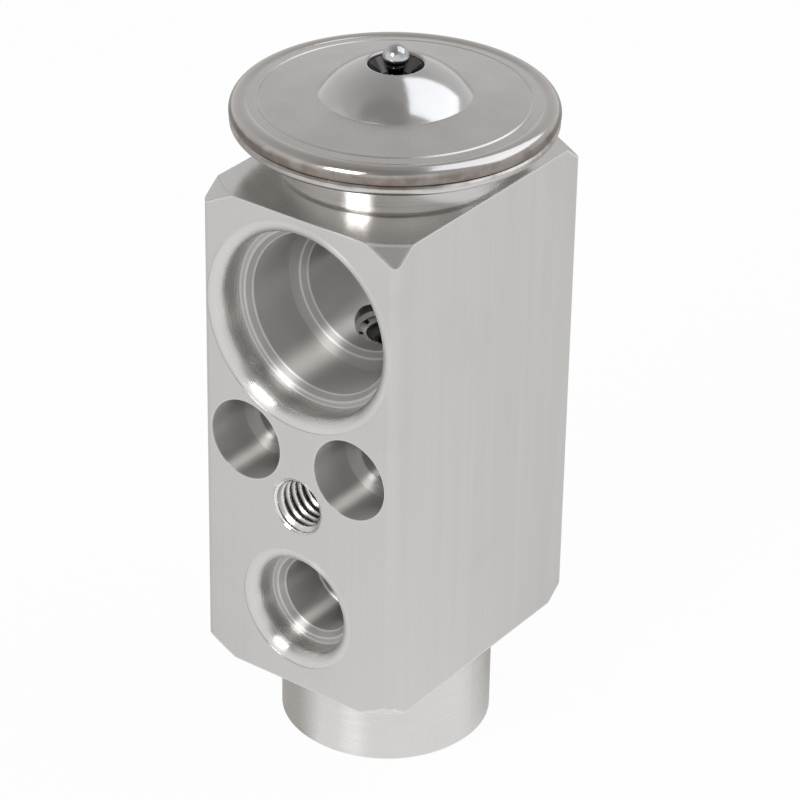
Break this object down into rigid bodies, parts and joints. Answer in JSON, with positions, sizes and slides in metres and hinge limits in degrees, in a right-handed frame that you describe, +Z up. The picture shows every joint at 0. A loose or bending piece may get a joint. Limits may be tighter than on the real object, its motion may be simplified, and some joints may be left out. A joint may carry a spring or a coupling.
{
  "type": "thermostatic expansion valve",
  "caption": "Block-type thermostatic expansion valve: aluminium block with stepped suction and liquid ports, a spring-loaded ball valve inside and a round diaphragm head on top.",
  "frame": {"origin": "middle of the flat underside of the boss, on which the valve stands", "axes": "+Z up along the valve's own axis, -Y out of the face with the fixing holes, +X to that face's right"},
  "size_m": [0.033, 0.033, 0.078],
  "materials": {
    "block_aluminium": "sawn and turned, satin",
    "head_steel": "drawn and rolled, fine satin",
    "plug_steel": "polished",
    "diaphragm_steel": "rolled sheet",
    "pad_brass": "turned",
    "neck_steel": "turned",
    "seal_rubber": "matt black",
    "rod_steel": "ground",
    "retainer_steel": "stamped",
    "ball_steel": "lapped",
    "carrier_brass": "turned",
    "clip_steel": "stamped spring sheet",
    "spring_steel": "coiled wire, ground ends",
    "screw_brass": "turned"
  },
  "bodies": {
    "valve_block": {"valve_body": "block_aluminium", "head_base": "neck_steel", "head_cap": "head_steel", "charge_plug": "plug_steel", "diaphragm": "diaphragm_steel", "head_seal": "seal_rubber", "rod_seal": "seal_rubber", "seal_retainer": "retainer_steel", "superheat_spring": "spring_steel"},
    "valve_train": {"thrust_pad": "pad_brass", "actuating_rod": "rod_steel", "valve_ball": "ball_steel", "ball_carrier": "carrier_brass", "damping_clip": "clip_steel"},
    "adjuster_lift": {"adjuster_seal": "seal_rubber"},
    "adjuster": {"adjusting_screw": "screw_brass"}
  },
  "joints": [
    {"name": "valve_stroke", "type": "slide", "parent": "valve_block", "child": "valve_train", "axis": [0, 0, -1], "range_m": [0, 0.0008], "stiffness_N_per_m": 50, "springref_m": -0.004, "deforming": ["superheat_spring", "diaphragm"]},
    {"name": "adjuster_advance", "type": "slide", "parent": "valve_block", "child": "adjuster_lift", "axis": [0, 0, 1], "range_m": [-0.00101, 0.00101]},
    {"name": "adjuster_turn", "type": "hinge", "parent": "adjuster_lift", "child": "adjuster", "pos_m": [0, 0, 0.004], "axis": [0, 0, 1], "range_deg": [-360, 360]}
  ],
  "couplings": [
    {"joint": "adjuster_advance", "follows": "adjuster_turn", "m_per_rad": 0.00015915}
  ]
}
